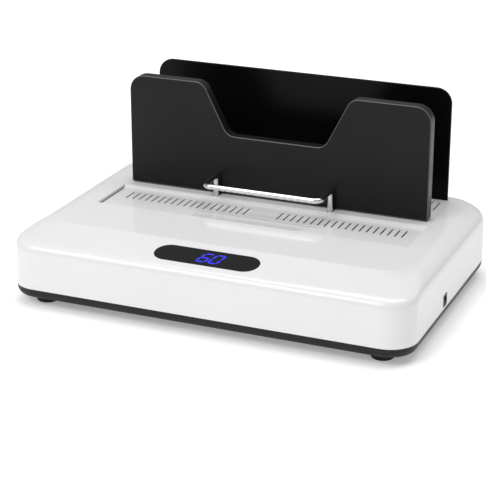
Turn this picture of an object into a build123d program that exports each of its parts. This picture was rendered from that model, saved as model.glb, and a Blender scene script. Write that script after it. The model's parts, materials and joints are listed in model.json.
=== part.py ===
from build123d import *
import os
from math import acos, asin, cos, radians, sin, sqrt, tan

# Desktop thermal binding machine: a white body with a slotted heating channel between a fixed
# rear plate and a front guide plate, which slides on two rods and is moved by a chrome handle.
# Frame: millimetres, origin on the table under the middle of the body, +X to the user's right
# along the body's length, +Y to the back, +Z up.

# ---------------------------------------------------------------- driving dimensions
# body
BODY_DEPTH = 277.0
END_SPAN = 43.05              # from the guide plate's end to the body's end
DECK_Z = 71.5                 # flat top of the body above the table
FOOT_HEIGHT = 9.6
BASE_BAND = 9.0               # height of the black band under the white shell
WALL = 2.6
FRONT_CORNER = 28.0           # radius of the front corners seen from above
REAR_CORNER = 37.0
REAR_DECK_CORNER = 26.0       # the same at the flat deck's rear corners
DRAFT = 0.6                   # degrees, walls lean in towards the top
SIDE_CROWN = 36.0             # the shoulder's radius next to the flat deck
SIDE_CROWN_TURN = 30.0        # degrees that it turns
SIDE_BEND = 10.0              # and its radius from there to the wall
REAR_CROWN = 37.0
REAR_CROWN_TURN = 12.0
REAR_BEND = 4.0
FACET_DEPTH = 52.6            # front facet, from the front wall back to the deck's crease
FACET_SLOPE = 9.0             # degrees
FACET_DROP = 7.0              # where the facet starts to round over to the front wall
BASE_INSET = 3.2              # how far the base tucks in at its underside
LIP_HEIGHT = 4.0
LIP_WALL = 1.6

# guide plates
REAR_SETBACK = 14.9           # rear plate's back from the body's rear
GUIDE_WIDTH = 321.6
GUIDE_TOP = 115.7             # above the deck
REAR_TOP = 116.5              # rear plate's top above the deck
GUIDE_THICKNESS = 12.4
GUIDE_WALL = 2.2
GUIDE_SPLIT = 8.4             # thickness of the front half
GUIDE_TOP_RADIUS = 16.0
GUIDE_FOOT_RADIUS = 1.8
GUIDE_EDGE_RADIUS = 1.3
GUIDE_LIFT = 0.8              # gap under the plate's lower edge
NOTCH_FLOOR = 62.5            # above the deck
NOTCH_SIDE = 81.8             # plate left beside the notch, at its top
NOTCH_RUN = 27.0              # width of the notch's sloping side
NOTCH_RADIUS = 13.0
CHANNEL_GAP = 57.1            # between the two plates, at rest
CLOSED_GAP = 3.1              # between the two plates, with the guide pushed back
REAR_THICKNESS = 3.0
REAR_EDGE_RADIUS = 0.8
REAR_BURIED = 18.0            # part of the rear plate below the deck
REAR_SCREW_RISE = 4.0         # rear plate's screws above its lower edge
REAR_SCREW_INSET = 35.8       # outer screws from the rear plate's end
REAR_SCREW_NEAR = 40.0        # inner screws from the middle
REAR_FIT = 0.2                # round the rear plate in the deck
ANGLE_SHEET = 2.0
ANGLE_INSET = 12.0            # rear plate's angle inside the plate's ends
PAD_LENGTH = 30.0
PAD_INSET = 1.6               # pads inside the plate's outline
PLATE_SCREW_INSET = 12.8      # from the plate's end
PLATE_SCREW_LOW = 12.0        # above the deck
PLATE_SCREW_DROP = 17.7       # upper screws below the plate's top
PLATE_SCREW_NEAR = 20.0       # lower inner screws from the middle
NOTCH_SCREW_SPAN = 17.0       # upper inner screws beside the notch
PLATE_BOSS_RADIUS = 3.4
SINK_DEPTH = 1.4              # counterbore of the plate's screws

# bed: the opening in the deck and what lies in it
BED_MARGIN = 3.2              # opening beyond the guide plate's ends
BED_FRONT = 72.3              # front edge of the opening, ahead of the guide's face
FRAME_BORDER = 7.0            # frame outside the opening
FRAME_REAR = 4.0              # frame behind the rear plate
FRAME_DEPTH = 6.4             # frame's height under the deck's underside
FRAME_FIT = 0.1               # frame under the deck's rounded inside
SIDE_LEDGE = 8.6
FRONT_LEDGE = 4.4
REAR_LEDGE = 3.6
PANEL_FIT = 0.1               # panels in the deck's opening
RECESS_DEPTH = 3.5
PANEL_SHEET = 1.5
STEP_TOP = 9.0                # rounded step's upper end, ahead of the guide's face
STEP_WIDTH = 7.0
PANEL_REAR = 0.7              # panel's rear edge behind the guide plate's rear face
SLOT_PITCH = 7.2
SLOT_FIRST = 18.0
SLOT_WIDTH = 1.8
SLOT_LENGTH = 20.0
SLOT_FRONT = 41.0             # front end of the front slots, ahead of the guide's face
SLOT_MARGIN = 14.9            # from the last slot to the panel's end
HOT_SLOT_LENGTH = 25.0
HOT_SLOT_FRONT = 36.0         # front end of the channel's slots, behind the guide's face
HOT_SLOT_PITCH = 7.25
HOT_SLOT_MARGIN = 7.7
RAMP_HALF = 64.0
RAMP_FLANK = 13.0             # sloping side of the ramp, seen from above
RAMP_END = 47.8               # finger ramp's rear end, ahead of the guide's face
RAMP_SLIT = 0.9               # slit in the panel behind the ramp

# heating
HEAT_SHEET = 3.0
HEAT_DROP = 0.04              # plate's top below the deck
BAR_HEIGHT = 6.0
BAR_DEPTH = 19.0
BAR_SETBACK = 1.7             # bar behind the plate's front edge
PAD_SHEET = 1.9
PAN_SHEET = 0.8
PAN_MARGIN = 11.0             # pans' ends inside the plate's ends
PAN_GAP = 5.0                 # pan's edge from the middle of a leg slot

# handle
ROD_RADIUS = 2.75
LEG_OFFSET = 62.0             # legs from the middle
LEG_AHEAD = 6.0               # legs ahead of the guide's face
BAR_AHEAD = 37.0
BAR_RISE = 19.7               # bar's centre above the deck
ARM_RISE = 21.5               # arm's rear end above the deck
BAR_BEND = 7.0
ARM_BEND = 4.5
LEG_SLOT = 6.7                # width of the travel slots

# slide
SLIDE_OFFSET = 100.0
SLIDE_RADIUS = 4.0
SLIDE_FIT = 0.05              # running clearance on the radius
YOKE_DROP = 19.0              # yoke's underside below the deck
YOKE_SHEET = 3.0
YOKE_END = 12.0               # yoke's ends beyond the rods
YOKE_FRONT = 12.0             # ahead of the guide's face, and as far behind it
BLOCK_WIDTH = 20.0
BLOCK_LENGTH = 28.0
BLOCK_HEIGHT = 14.0
BLOCK_AHEAD = 10.0
PILLAR_WIDTH = 16.0
PILLAR_DEPTH = 8.0
STOP_GAP = 0.5
BLADE_SHEET = 3.0
BLADE_DEPTH = 6.8
BLADE_TOP = 44.0              # above the deck
BRACKET_FOOT = 14.0
BRACKET_SHEET = 2.5

# display
LENS_LENGTH = 106.0
LENS_WIDTH = 28.6
LENS_CENTRE_X = -3.1
LENS_AHEAD = 24.7             # lens centre ahead of the deck's crease, seen from above
LENS_RECESS = 0.15
LENS_FLANGE = 1.2
LENS_FLANGE_SHEET = 1.5
MODULE_SIZE = (34.0, 18.0, 8.0)
BOARD_SHEET = 1.6
DIGIT_SHIFT = 5.6             # digits to the right of the lens's centre
DISPLAY_BOARD_WIDTH = 26.0
DISPLAY_POST_OUT = 5.8        # board's posts beyond the lens
DISPLAY_POST_RADIUS = 3.0

# switch on the right wall
SWITCH_BACK = 111.6           # switch's middle from the body's front
SWITCH_WIDTH = 12.0
SWITCH_HEIGHT = 12.5
SWITCH_FOOT = 1.9             # above the shell's lower edge
ROCKER_RADIUS = 6.2
ROCKER_WIDTH = 8.6
ROCKER_FIT = 0.3
ROCKER_THROW = 16.0           # degrees from one position to the other
PIVOT_RADIUS = 1.0
PIVOT_DEPTH = 5.6             # pivot inside the body's side

# inlet in the rear wall
INLET_END = 63.85             # inlet's centre from the body's end
INLET_Z = 36.0
INLET_SIZE = (27.0, 19.6, 24.0)
INLET_SINK = 0.6              # inlet's face inside the rear wall
INLET_FLANGE = 4.0
SOCKET_SIZE = (24.0, 16.0, 16.0)
SOCKET_CORNER = 4.0
PIN_SIZE = (2.0, 4.0, 12.0)
PIN_PLACES = [(-7.0, -2.0), (0.0, 2.4), (7.0, -2.0)]

# boards and fasteners
BOARD_LENGTH = 100.0
BOARD_DEPTH = 70.0
BOARD_END = 33.85             # power board's end from the body's end
BOARD_FRONT = 46.5            # and its front edge from the body's front
BOARD_HOLE = 5.0              # its holes from its edges
BOARD_LIFT = 7.8
CORE_SIZE = (32.0, 16.0, 27.0)
WINDING_SIZE = (19.0, 26.0, 19.0)
CORE_PLACE = (32.0, 28.0)     # from the board's front left corner
RELAY_SIZE = (20.0, 16.0, 15.0)
RELAY_PLACE = (70.0, 16.0)
CAN_RADIUS = 6.3
CAN_HEIGHT = 20.0
CAN_PLACE = (22.0, 54.0)
CAN_PITCH = 16.0
TERMINAL_SIZE = (10.0, 30.0, 12.0)
TERMINAL_PLACE = (86.0, 35.0)
TERMINAL_PITCH = 6.0
SINK_SIZE = (24.0, 10.0, 24.0)
SINK_PLACE = (70.0, 55.0)
SINK_FIN = 1.5
SCREW_RADIUS = 1.45
SCREW_FIT = 0.05
SCREW_CLEAR = 1.7
HEAD_RADIUS = 2.8
HEAD_HEIGHT = 2.2
FOOT_RADIUS = 11.0
FOOT_END = 31.85              # feet from the body's ends
FOOT_SIDE = 24.6              # and from its front and rear
POST_END = 18.85              # screw posts from the body's ends
POST_FRONT = 33.5             # and from its front and rear
POST_REAR = 38.5
POST_MIDDLE = (40.0, 63.5)    # middle posts, from the middle and from the front
GAP = 0.3                     # between pieces that are set in one another

# ---------------------------------------------------------------- derived places
SHELL_FOOT = FOOT_HEIGHT + BASE_BAND
SHELL_HEIGHT = DECK_Z - SHELL_FOOT
CEILING = DECK_Z - WALL
BASE_FLOOR = FOOT_HEIGHT + WALL
HALF_GUIDE = GUIDE_WIDTH / 2
HALF_LENGTH = HALF_GUIDE + END_SPAN
HALF_DEPTH = BODY_DEPTH / 2
CREASE_Y = FACET_DEPTH - HALF_DEPTH

REAR_BACK_Y = HALF_DEPTH - REAR_SETBACK
REAR_FACE_Y = REAR_BACK_Y - REAR_THICKNESS
GUIDE_REAR_Y = REAR_FACE_Y - CHANNEL_GAP
GUIDE_FACE_Y = GUIDE_REAR_Y - GUIDE_THICKNESS
GUIDE_TRAVEL = CHANNEL_GAP - CLOSED_GAP
NOTCH_TOP_HALF = HALF_GUIDE - NOTCH_SIDE
NOTCH_FLOOR_HALF = NOTCH_TOP_HALF - NOTCH_RUN
BED_HALF = HALF_GUIDE + BED_MARGIN
BED_FRONT_Y = GUIDE_FACE_Y - BED_FRONT
BED_REAR_Y = REAR_FACE_Y - REAR_FIT
FRAME_REAR_Y = REAR_BACK_Y + FRAME_REAR
RECESS_Z = DECK_Z - RECESS_DEPTH
PANEL_Z = RECESS_Z - PANEL_SHEET
PANEL_REAR_Y = GUIDE_REAR_Y + PANEL_REAR
RAMP_END_Y = GUIDE_FACE_Y - RAMP_END
INSERT_HALF = BED_HALF - PANEL_FIT
SLOT_COUNT = 1 + int((BED_HALF - SLOT_MARGIN - SLOT_FIRST) / SLOT_PITCH)
HOT_SLOT_COUNT = 1 + int((BED_HALF - HOT_SLOT_MARGIN - SLOT_FIRST) / HOT_SLOT_PITCH)
FRAME_Z = CEILING - FRAME_DEPTH
HEAT_TOP = DECK_Z - HEAT_DROP
HEAT_Z = HEAT_TOP - HEAT_SHEET
HEAT_FRONT_Y = PANEL_REAR_Y + GAP
HEAT_REAR_Y = BED_REAR_Y
BAR_Z = HEAT_Z - BAR_HEIGHT
PAN_Z = BAR_Z - PAD_SHEET - PAN_SHEET
BAR_FRONT_Y = HEAT_FRONT_Y + BAR_SETBACK
PAN_FRONT_Y = HEAT_FRONT_Y + GAP
PAN_REAR_Y = HEAT_REAR_Y - REAR_LEDGE - GAP

LEG_Y = GUIDE_FACE_Y - LEG_AHEAD
BAR_Y = GUIDE_FACE_Y - BAR_AHEAD
YOKE_Z = DECK_Z - YOKE_DROP
YOKE_TOP = YOKE_Z + YOKE_SHEET
YOKE_HALF = SLIDE_OFFSET + YOKE_END
BLADE_FRONT_Y = GUIDE_FACE_Y + GUIDE_WALL
BLADE_REAR_Y = BLADE_FRONT_Y + BLADE_DEPTH
SLOT_START_Y = LEG_Y - LEG_SLOT / 2
SLOT_END_Y = BLADE_REAR_Y + GUIDE_TRAVEL + 2 * GAP
SLIDE_Z = YOKE_Z - BLOCK_HEIGHT / 2
BLOCK_FRONT_Y = GUIDE_FACE_Y - BLOCK_AHEAD
BLOCK_REAR_Y = BLOCK_FRONT_Y + BLOCK_LENGTH
FRONT_PILLAR_Y = BLOCK_FRONT_Y - STOP_GAP - PILLAR_DEPTH
REAR_PILLAR_Y = BLOCK_REAR_Y + GUIDE_TRAVEL + STOP_GAP

DISPLAY_POST = LENS_LENGTH / 2 + LENS_FLANGE + DISPLAY_POST_OUT
DISPLAY_BOARD_LENGTH = 2 * (DISPLAY_POST + 2 * DISPLAY_POST_RADIUS)
SWITCH_Y = SWITCH_BACK - HALF_DEPTH
PIVOT_X = HALF_LENGTH - PIVOT_DEPTH
SWITCH_FACE_X = HALF_LENGTH - 0.1
SWITCH_Z0 = SHELL_FOOT + SWITCH_FOOT
SWITCH_Z1 = SWITCH_Z0 + SWITCH_HEIGHT
PIVOT_Z = (SWITCH_Z0 + SWITCH_Z1) / 2
INLET_X = HALF_LENGTH - INLET_END
BOARD_RIGHT = HALF_LENGTH - BOARD_END
BOARD_LEFT = BOARD_RIGHT - BOARD_LENGTH
BOARD_FRONT_Y = BOARD_FRONT - HALF_DEPTH
POST_RADIUS = 4.5
POST_JOINT_Z = 30.0           # where a base post meets the shell's boss
POST_HEAD_Z = 20.0            # bottom of the counterbore for a shell screw
THREAD_LENGTH = 8.0


# ---------------------------------------------------------------- helpers
def block(x0, x1, y0, y1, z0, z1):
    """Box between two corners."""
    middle = Pos((x0 + x1) / 2, (y0 + y1) / 2, (z0 + z1) / 2)
    return middle * Box(x1 - x0, y1 - y0, z1 - z0)


def upright(x, y, z0, z1, radius):
    """Cylinder along Z."""
    return Pos(x, y, (z0 + z1) / 2) * Cylinder(radius, z1 - z0)


def along_y(x, z, y0, y1, radius):
    """Cylinder along Y."""
    return Pos(x, (y0 + y1) / 2, z) * Rot(90, 0, 0) * Cylinder(radius, y1 - y0)


def hexagon(x, y, z0, z1, across, bore):
    """Nut along Z."""
    flat = RegularPolygon(across / 2, 6, major_radius=False) - Circle(bore)
    return Pos(x, y, z0) * extrude(flat, z1 - z0)


def screw(x, y, head_z, tip_z):
    """Pan-head screw driven upwards: the head's upper side is at head_z."""
    head = upright(x, y, head_z - HEAD_HEIGHT, head_z, HEAD_RADIUS)
    cross = block(x - 1.6, x + 1.6, y - 0.3, y + 0.3, head_z - HEAD_HEIGHT, head_z - HEAD_HEIGHT + 1)
    slot = block(x - 0.3, x + 0.3, y - 1.6, y + 1.6, head_z - HEAD_HEIGHT, head_z - HEAD_HEIGHT + 1)
    return head - cross - slot + upright(x, y, head_z, tip_z, SCREW_RADIUS)


def rounded_outline(half, front, rear, front_radius, rear_radius, z):
    """Flat face with a rounded rectangle's outline, whose front and rear corners differ."""
    right, left = half - rear_radius, -half + rear_radius
    back, ahead = rear - rear_radius, front + front_radius
    inner = half - front_radius
    edges = [
        Line((half, ahead), (half, back)),
        CenterArc((right, back), rear_radius, 0, 90),
        Line((right, rear), (left, rear)),
        CenterArc((left, back), rear_radius, 90, 90),
        Line((-half, back), (-half, ahead)),
        CenterArc((-inner, ahead), front_radius, 180, 90),
        Line((-inner, front), (inner, front)),
        CenterArc((inner, ahead), front_radius, 270, 90),
    ]
    return Pos(0, 0, z) * Face(Wire(edges))


def stack(levels, section, ruled=False):
    """Solid through the sections at a list of levels."""
    return loft([section(level) for level in levels], ruled=ruled)


# ---------------------------------------------------------------- body form
def lean(drop):
    """How far the drafted wall has moved in, at a level below the deck."""
    return (SHELL_HEIGHT - drop) * tan(radians(DRAFT))


def shoulder_depth(crown, turn, bend):
    """How far below the deck a shoulder's two arcs reach, where they meet the leaning wall."""
    return crown * (1 - cos(radians(turn))) + bend * (cos(radians(turn)) - sin(radians(DRAFT)))


def shoulder_inset(drop, crown, turn, bend):
    """How far inside the wall a shoulder's two arcs are, at a level below the deck."""
    turned, wall_angle = radians(turn), radians(90 - DRAFT)
    crown_drop = crown * (1 - cos(turned))
    if drop < crown_drop:
        angle = acos(1 - drop / crown)
        return crown * (sin(turned) - sin(angle)) + bend * (sin(wall_angle) - sin(turned))
    if drop < shoulder_depth(crown, turn, bend):
        angle = acos(cos(turned) - (drop - crown_drop) / bend)
        return bend * (sin(wall_angle) - sin(angle))
    return 0


def body_form(inset):
    """Closed outer form of the shell, or the same form drawn in by a wall."""
    slope = radians(FACET_SLOPE)
    # the arc from the facet to the leaning front wall, tangent to both
    reach = FACET_DEPTH - FACET_DROP / tan(slope) - lean(FACET_DROP)
    arc_radius = reach / (1 - sin(slope) - cos(slope) * tan(radians(DRAFT)))
    arc_bottom = FACET_DROP + arc_radius * cos(slope)
    side_depth = shoulder_depth(SIDE_CROWN, SIDE_CROWN_TURN, SIDE_BEND)
    rear_depth = shoulder_depth(REAR_CROWN, REAR_CROWN_TURN, REAR_BEND)

    def front_inset(drop):
        if drop <= FACET_DROP:
            return FACET_DEPTH - drop / tan(slope)
        if drop < arc_bottom:
            angle = acos(cos(slope) - (drop - FACET_DROP) / arc_radius)
            return lean(arc_bottom) + arc_radius * (1 - sin(angle))
        return lean(drop)

    def section(drop):
        side_in = lean(max(drop, side_depth)) + shoulder_inset(drop, SIDE_CROWN, SIDE_CROWN_TURN, SIDE_BEND)
        rear_in = lean(max(drop, rear_depth)) + shoulder_inset(drop, REAR_CROWN, REAR_CROWN_TURN, REAR_BEND)
        half = HALF_LENGTH - inset - side_in
        rear = HALF_DEPTH - inset - rear_in
        front = -HALF_DEPTH + inset + front_inset(drop)
        spread = sqrt(1 - (1 - min(1, drop / side_depth)) ** 2)
        rear_radius = REAR_DECK_CORNER + (REAR_CORNER - REAR_DECK_CORNER) * spread - inset
        return rounded_outline(half, front, rear, FRONT_CORNER - inset, rear_radius, DECK_Z - inset - drop)

    drops = [arc_bottom * (1 - cos(radians(angle))) for angle in range(0, 91, 6)]
    return stack(drops, section) + stack([drops[-1], SHELL_HEIGHT], section, ruled=True)


def facet_plane(depth):
    """Plane on the front facet at the lens's centre, sunk by a depth."""
    slope = radians(FACET_SLOPE)
    origin = Vector(LENS_CENTRE_X, CREASE_Y - LENS_AHEAD, DECK_Z - LENS_AHEAD * tan(slope))
    normal = Vector(0, -sin(slope), cos(slope))
    return Plane(origin=origin - normal * depth, x_dir=(1, 0, 0), z_dir=normal)


def pill(length, width, depth, thickness):
    """Pill-shaped plate under the facet: its top lies at the depth."""
    return extrude(facet_plane(depth) * SlotOverall(length, width), -thickness)


def facet_block(length, width, depth, height, shift=0):
    """Box under the facet: its top lies at the depth."""
    plane = facet_plane(depth)
    return extrude(plane * Pos(shift, 0) * Rectangle(length, width), -height)


# ---------------------------------------------------------------- body pieces
def top_shell():
    outer = body_form(0)
    shell = outer - body_form(WALL)
    # bed opening and the rear plate's slot behind it
    shell -= block(-BED_HALF, BED_HALF, BED_FRONT_Y, BED_REAR_Y, CEILING - 1, DECK_Z + 1)
    slot_half = HALF_GUIDE + REAR_FIT
    shell -= block(-slot_half, slot_half, BED_REAR_Y - 1, REAR_BACK_Y + REAR_FIT, CEILING - 1, DECK_Z + 1)
    shell -= pill(LENS_LENGTH, LENS_WIDTH, -1, 3 * WALL)
    # bosses for the shell's screws
    for x, y in post_places():
        boss = upright(x, y, POST_JOINT_Z, DECK_Z, POST_RADIUS) & outer
        bore = upright(x, y, POST_JOINT_Z - 1, POST_JOINT_Z + THREAD_LENGTH + 2, SCREW_RADIUS + SCREW_FIT)
        shell += boss - bore
    # posts for the display board, square to the facet
    depth = board_depth()
    for side in (-1, 1):
        plane = facet_plane(depth) * Pos(side * DISPLAY_POST, 0)
        post = extrude(plane * Circle(DISPLAY_POST_RADIUS), depth) & outer
        shell += post - extrude(plane * Circle(SCREW_RADIUS + SCREW_FIT), depth - WALL)
    # frame screws' blind holes
    for x, y in frame_screw_places():
        shell -= upright(x, y, CEILING - 1, CEILING + 1.8, SCREW_RADIUS + SCREW_FIT)
    # switch in the right wall, inlet in the rear wall
    shell -= block(HALF_LENGTH - 2 * WALL, HALF_LENGTH + 1, SWITCH_Y - SWITCH_WIDTH / 2 - GAP / 2,
                   SWITCH_Y + SWITCH_WIDTH / 2 + GAP / 2, SWITCH_Z0 - GAP / 2, SWITCH_Z1 + GAP / 2)
    wide, tall, _ = INLET_SIZE
    shell -= block(INLET_X - wide / 2 - GAP / 2, INLET_X + wide / 2 + GAP / 2, HALF_DEPTH - 2 * WALL,
                   HALF_DEPTH + 1, INLET_Z - tall / 2 - GAP / 2, INLET_Z + tall / 2 + GAP / 2)
    return shell


def base_section(level):
    z, inset = level
    return rounded_outline(HALF_LENGTH - inset, -HALF_DEPTH + inset, HALF_DEPTH - inset,
                           FRONT_CORNER - inset, REAR_CORNER - inset, z)


def base_tray():
    rounding = [(SHELL_FOOT, 0.1), (FOOT_HEIGHT + BASE_BAND * 0.6, 0.5),
                (FOOT_HEIGHT + BASE_BAND * 0.25, BASE_INSET * 0.45), (FOOT_HEIGHT, BASE_INSET)]
    tray = stack(rounding, base_section)
    inner = BASE_INSET + WALL
    tray -= stack([(SHELL_FOOT + 1, inner), (BASE_FLOOR, inner)], base_section, ruled=True)
    # lip inside the shell's wall
    lip_out = WALL + GAP + lean(SHELL_HEIGHT - LIP_HEIGHT)
    lip = stack([(BASE_FLOOR, lip_out), (SHELL_FOOT + LIP_HEIGHT, lip_out)], base_section, ruled=True)
    lip -= stack([(BASE_FLOOR - 1, lip_out + LIP_WALL), (SHELL_FOOT + LIP_HEIGHT + 1, lip_out + LIP_WALL)],
                 base_section, ruled=True)
    tray += lip
    # the lip is cut away behind the switch
    tray -= block(HALF_LENGTH - 6 * WALL, HALF_LENGTH - WALL - GAP / 2, SWITCH_Y - SWITCH_WIDTH / 2 - 2,
                  SWITCH_Y + SWITCH_WIDTH / 2 + 2, SWITCH_Z0 - 3, SHELL_FOOT + LIP_HEIGHT + 1)
    # screw posts
    for x, y in post_places():
        tray += upright(x, y, BASE_FLOOR - 1, POST_JOINT_Z, POST_RADIUS)
        tray -= upright(x, y, FOOT_HEIGHT - 1, POST_HEAD_Z, HEAD_RADIUS + GAP)
        tray -= upright(x, y, POST_HEAD_Z - 1, POST_JOINT_Z + 1, SCREW_CLEAR)
    # pillars for the slide rods
    for side in (-1, 1):
        x = side * SLIDE_OFFSET
        for y in (FRONT_PILLAR_Y, REAR_PILLAR_Y):
            pillar = block(x - PILLAR_WIDTH / 2, x + PILLAR_WIDTH / 2, y, y + PILLAR_DEPTH, BASE_FLOOR - 1, YOKE_Z)
            tray += pillar - along_y(x, SLIDE_Z, y - 1, y + PILLAR_DEPTH + 1, SLIDE_RADIUS + SLIDE_FIT)
    # standoffs for the power board
    for x, y in board_screw_places():
        post = upright(x, y, BASE_FLOOR - 1, BASE_FLOOR + BOARD_LIFT, 3.2)
        tray += post - upright(x, y, BASE_FLOOR + 1, BASE_FLOOR + BOARD_LIFT + 1, SCREW_RADIUS + SCREW_FIT)
    # air slots in the floor
    for column in range(-5, 6):
        tray -= block(column * 9 - 1.5, column * 9 + 1.5, -20, 30, FOOT_HEIGHT - 1, BASE_FLOOR + 1)
    for x, y in foot_places():
        tray -= upright(x, y, FOOT_HEIGHT - 1, BASE_FLOOR + 1, 4.0)
    return tray


def post_places():
    """Screw posts between the base and the shell."""
    near, ahead = POST_MIDDLE
    rows = [(HALF_LENGTH - POST_END, POST_FRONT - HALF_DEPTH), (HALF_LENGTH - POST_END, HALF_DEPTH - POST_REAR),
            (near, ahead - HALF_DEPTH)]
    return [(side * x, y) for x, y in rows for side in (1, -1)]


def foot_places():
    x, y = HALF_LENGTH - FOOT_END, HALF_DEPTH - FOOT_SIDE
    return [(across * x, along * y) for across in (-1, 1) for along in (-1, 1)]


def rubber_feet():
    feet = []
    for x, y in foot_places():
        foot = upright(x, y, 0, FOOT_HEIGHT, FOOT_RADIUS)
        foot = fillet(foot.edges().group_by(Axis.Z)[0], 1.6)
        foot += upright(x, y, FOOT_HEIGHT, BASE_FLOOR, 4.0 - SLIDE_FIT)
        foot += Pos(x, y, BASE_FLOOR + 0.8) * Cone(5.6, 3.0, 1.6)
        feet.append(foot)
    return Compound(children=feet)


def shell_screws():
    return Compound(children=[screw(x, y, POST_HEAD_Z, POST_JOINT_Z + THREAD_LENGTH) for x, y in post_places()])


# ---------------------------------------------------------------- bed
def bed_frame():
    outer_half = BED_HALF + FRAME_BORDER
    frame = block(-outer_half, outer_half, BED_FRONT_Y - FRAME_BORDER, FRAME_REAR_Y, FRAME_Z, CEILING)
    # pocket for the vent panel, then for the heating plate, then the way through
    frame -= block(-BED_HALF, BED_HALF, BED_FRONT_Y, HEAT_FRONT_Y, PANEL_Z, DECK_Z)
    frame -= block(-BED_HALF, BED_HALF, HEAT_FRONT_Y - 1, BED_REAR_Y, HEAT_Z, DECK_Z)
    ledge = INSERT_HALF - SIDE_LEDGE
    frame -= block(-ledge, ledge, BED_FRONT_Y + FRONT_LEDGE, HEAT_REAR_Y - REAR_LEDGE, FRAME_Z - 1, DECK_Z)
    # slot for the rear plate
    slot_half = HALF_GUIDE + REAR_FIT
    frame -= block(-slot_half, slot_half, BED_REAR_Y, REAR_BACK_Y + REAR_FIT, FRAME_Z - 1, DECK_Z)
    # the frame stays clear of the shell's rounded inside
    frame &= body_form(WALL + FRAME_FIT)
    for x, y in frame_screw_places():
        frame -= upright(x, y, FRAME_Z - 1, CEILING + 1, SCREW_CLEAR)
    return frame


def frame_screw_places():
    x = BED_HALF + FRAME_BORDER / 2
    return [(side * x, y) for side in (-1, 1) for y in (BED_FRONT_Y + 8, GUIDE_FACE_Y - 5, BED_REAR_Y - 8)]


def frame_screws():
    return Compound(children=[screw(x, y, FRAME_Z, CEILING + 1.5) for x, y in frame_screw_places()])


def leg_slots(z0, z1):
    """Cutters for the travel slots of the handle's legs and the brackets."""
    cutters = []
    for side in (-1, 1):
        x = side * LEG_OFFSET
        start = SLOT_START_Y + LEG_SLOT / 2
        cutters.append(block(x - LEG_SLOT / 2, x + LEG_SLOT / 2, start, SLOT_END_Y, z0, z1))
        cutters.append(upright(x, start, z0, z1, LEG_SLOT / 2))
    return cutters


def slot_row(count, pitch, y0, length, z0, z1):
    """Cutters for a mirrored row of round-ended slots along Y, clear of the leg slots."""
    cutters = []
    outline = Rot(0, 0, 90) * SlotOverall(length, SLOT_WIDTH)
    for index in range(count):
        x = SLOT_FIRST + index * pitch
        for side in (-1, 1):
            cutters.append((side * x, extrude(Pos(side * x, y0 + length / 2, z0) * outline, z1 - z0)))
    return cutters


def vent_panel():
    front = BED_FRONT_Y + PANEL_FIT
    step_top_y = GUIDE_FACE_Y - STEP_TOP
    step_foot_y = step_top_y - STEP_WIDTH
    middle_y, middle_z = (step_top_y + step_foot_y) / 2, (RECESS_Z + DECK_Z) / 2
    radius = (STEP_WIDTH ** 2 + RECESS_DEPTH ** 2) / (4 * RECESS_DEPTH)
    swing = 2 * asin(STEP_WIDTH / 2 / radius) / 2
    low_z, high_z = RECESS_Z + radius * (1 - cos(swing / 2)), DECK_Z - radius * (1 - cos(swing / 2))
    low_y, high_y = step_foot_y + radius * sin(swing / 2), step_top_y - radius * sin(swing / 2)
    sheet = PANEL_SHEET
    profile = [
        Line((front, RECESS_Z), (step_foot_y, RECESS_Z)),
        ThreePointArc((step_foot_y, RECESS_Z), (low_y, low_z), (middle_y, middle_z)),
        ThreePointArc((middle_y, middle_z), (high_y, high_z), (step_top_y, DECK_Z)),
        Line((step_top_y, DECK_Z), (PANEL_REAR_Y, DECK_Z)),
        Line((PANEL_REAR_Y, DECK_Z), (PANEL_REAR_Y, DECK_Z - sheet)),
        Line((PANEL_REAR_Y, DECK_Z - sheet), (step_top_y + sheet, DECK_Z - sheet)),
        Line((step_top_y + sheet, DECK_Z - sheet), (step_foot_y + sheet, PANEL_Z)),
        Line((step_foot_y + sheet, PANEL_Z), (front, PANEL_Z)),
        Line((front, PANEL_Z), (front, RECESS_Z)),
    ]
    side_plane = Plane(origin=(-INSERT_HALF, 0, 0), x_dir=(0, 1, 0), z_dir=(1, 0, 0))
    panel = extrude(side_plane * Face(Wire(profile)), 2 * INSERT_HALF, dir=(1, 0, 0))
    # end gussets that stand on the frame's side ledges
    for side in (-1, 1):
        inner, outer = side * (INSERT_HALF - SIDE_LEDGE), side * INSERT_HALF
        panel += block(min(inner, outer), max(inner, outer), step_top_y, PANEL_REAR_Y, PANEL_Z, DECK_Z - sheet / 2)
        panel += block(min(inner, outer), max(inner, outer), step_foot_y + sheet, step_top_y + 1, PANEL_Z, RECESS_Z)
    # finger ramp in the middle of the front edge, its sloping ends, and the slit behind it
    wedge = Polyline((front, RECESS_Z - 0.5), (front, DECK_Z), (RAMP_END_Y, RECESS_Z - 0.5), close=True)
    ramp_plane = Plane(origin=(-RAMP_HALF, 0, 0), x_dir=(0, 1, 0), z_dir=(1, 0, 0))
    ramp = extrude(ramp_plane * make_face(wedge), 2 * RAMP_HALF, dir=(1, 0, 0))
    run, beyond = RAMP_FLANK / RECESS_DEPTH, RAMP_HALF + RAMP_FLANK
    for side in (-1, 1):
        corner = Polyline((side * (RAMP_HALF - RAMP_FLANK - run), DECK_Z + 1), (side * beyond, DECK_Z + 1),
                          (side * beyond, RECESS_Z - 1), (side * (RAMP_HALF + run), RECESS_Z - 1), close=True)
        face = Plane(origin=(0, front - 1, 0), x_dir=(1, 0, 0), z_dir=(0, -1, 0)) * make_face(corner)
        ramp -= extrude(face, BED_FRONT, dir=(0, 1, 0))
    panel += ramp
    panel -= block(-RAMP_HALF, RAMP_HALF, RAMP_END_Y, RAMP_END_Y + RAMP_SLIT, PANEL_Z - 1, DECK_Z)
    row = slot_row(SLOT_COUNT, SLOT_PITCH, GUIDE_FACE_Y - SLOT_FRONT, SLOT_LENGTH, PANEL_Z - 1, DECK_Z)
    cutters = [cut for _, cut in row]
    return panel - cutters - leg_slots(PANEL_Z - 1, DECK_Z + 1)


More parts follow.
